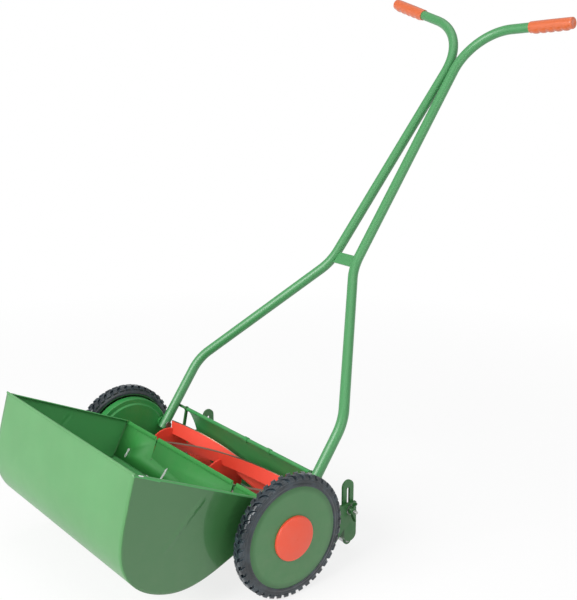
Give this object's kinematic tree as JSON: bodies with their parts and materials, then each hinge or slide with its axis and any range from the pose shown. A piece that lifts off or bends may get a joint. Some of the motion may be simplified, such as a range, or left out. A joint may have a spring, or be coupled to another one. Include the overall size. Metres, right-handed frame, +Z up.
{
  "type": "reel mower",
  "caption": "Hand-pushed cylinder lawn mower with lugged side wheels, helical reel, rear roller, forked tube handle and a front grass catcher",
  "frame": {"origin": "on the ground, at the middle of the mower's length and width", "axes": "+X to the operator's left along the axle, -Y the direction of mowing, +Z up"},
  "size_m": [0.6164, 1.0876, 1.0383],
  "materials": {
    "green_paint": "gloss enamel",
    "dark_green_paint": "gloss enamel",
    "red_paint": "gloss enamel",
    "steel": "bare steel",
    "zinc": "zinc plated",
    "bronze": "sintered bronze",
    "cast_iron": "as cast",
    "tyre": "moulded rubber",
    "red_plastic": "moulded",
    "orange_grip": "moulded"
  },
  "bodies": {
    "frame": {"adjuster_screws": "zinc", "axle_nut_left": "zinc", "axle_nut_right": "zinc", "bridge_plate": "green_paint", "clamp_bolts": "zinc", "cross_rod": "dark_green_paint", "deflector": "dark_green_paint", "deflector_clips": "dark_green_paint", "deflector_stay_left": "dark_green_paint", "deflector_stay_right": "dark_green_paint", "foot_bolts": "zinc", "front_rods": "dark_green_paint", "grip_left": "orange_grip", "grip_right": "orange_grip", "handle_tube_left": "green_paint", "handle_tube_right": "green_paint", "lower_tie_rod": "dark_green_paint", "pivot_pins": "zinc", "reel_bearing_left": "bronze", "reel_bearing_right": "bronze", "rod_nuts": "zinc", "side_frame_left": "dark_green_paint", "side_frame_right": "dark_green_paint", "stay_screws": "zinc", "stub_axle_left": "steel", "stub_axle_right": "steel"},
    "wheel_left": {"hub_cap_left": "red_plastic", "ring_gear_left": "cast_iron", "tyre_left": "tyre", "wheel_bush_left": "bronze", "wheel_disc_left": "green_paint"},
    "wheel_right": {"hub_cap_right": "red_plastic", "ring_gear_right": "cast_iron", "tyre_right": "tyre", "wheel_bush_right": "bronze", "wheel_disc_right": "green_paint"},
    "reel": {"pinion_left": "cast_iron", "pinion_right": "cast_iron", "reel_blades": "red_paint", "reel_shaft": "steel", "reel_spiders": "red_paint"},
    "blade_carrier": {"blade_carrier": "dark_green_paint", "blade_screws": "zinc", "bottom_blade": "steel"},
    "height_bars": {"height_bar_left": "dark_green_paint", "height_bar_right": "dark_green_paint", "roller_spindle": "steel"},
    "roller": {"rear_roller": "dark_green_paint"},
    "wing_nut_left": {"wing_nut_left": "dark_green_paint"},
    "wing_nut_right": {"wing_nut_right": "dark_green_paint"},
    "catcher": {"catcher_hooks": "green_paint", "catcher_rear": "green_paint", "catcher_scoop": "green_paint", "catcher_side_left": "green_paint", "catcher_side_right": "green_paint"}
  },
  "joints": [
    {"name": "wheel_left_spin", "type": "hinge", "parent": "frame", "child": "wheel_left", "pos_m": [0, -0.23535, 0.115], "axis": [1, 0, 0], "continuous": true},
    {"name": "wheel_right_spin", "type": "hinge", "parent": "frame", "child": "wheel_right", "pos_m": [0, -0.23535, 0.115], "axis": [1, 0, 0], "continuous": true},
    {"name": "reel_spin", "type": "hinge", "parent": "frame", "child": "reel", "pos_m": [0, -0.17897, 0.09448], "axis": [1, 0, 0], "continuous": true},
    {"name": "blade_tilt", "type": "hinge", "parent": "frame", "child": "blade_carrier", "pos_m": [0, -0.12135, 0.03696], "axis": [1, 0, 0], "range_deg": [0, 1]},
    {"name": "height_slide", "type": "slide", "parent": "frame", "child": "height_bars", "axis": [0, 0, 1], "range_m": [-0.025, 0.02]},
    {"name": "roller_spin", "type": "hinge", "parent": "height_bars", "child": "roller", "pos_m": [0, -0.04935, 0.021], "axis": [1, 0, 0], "continuous": true},
    {"name": "wing_nut_left_turn", "type": "hinge", "parent": "frame", "child": "wing_nut_left", "pos_m": [0.248, -0.04935, 0.088], "axis": [1, 0, 0], "continuous": true},
    {"name": "wing_nut_right_turn", "type": "hinge", "parent": "frame", "child": "wing_nut_right", "pos_m": [-0.248, -0.04935, 0.088], "axis": [-1, 0, 0], "continuous": true},
    {"name": "catcher_lift", "type": "slide", "parent": "frame", "child": "catcher", "axis": [0, 0, 1], "range_m": [0, 0.06]}
  ],
  "couplings": [
    {"joint": "wheel_right_spin", "follows": "wheel_left_spin", "ratio": 1},
    {"joint": "reel_spin", "follows": "wheel_left_spin", "ratio": 4.3333}
  ]
}
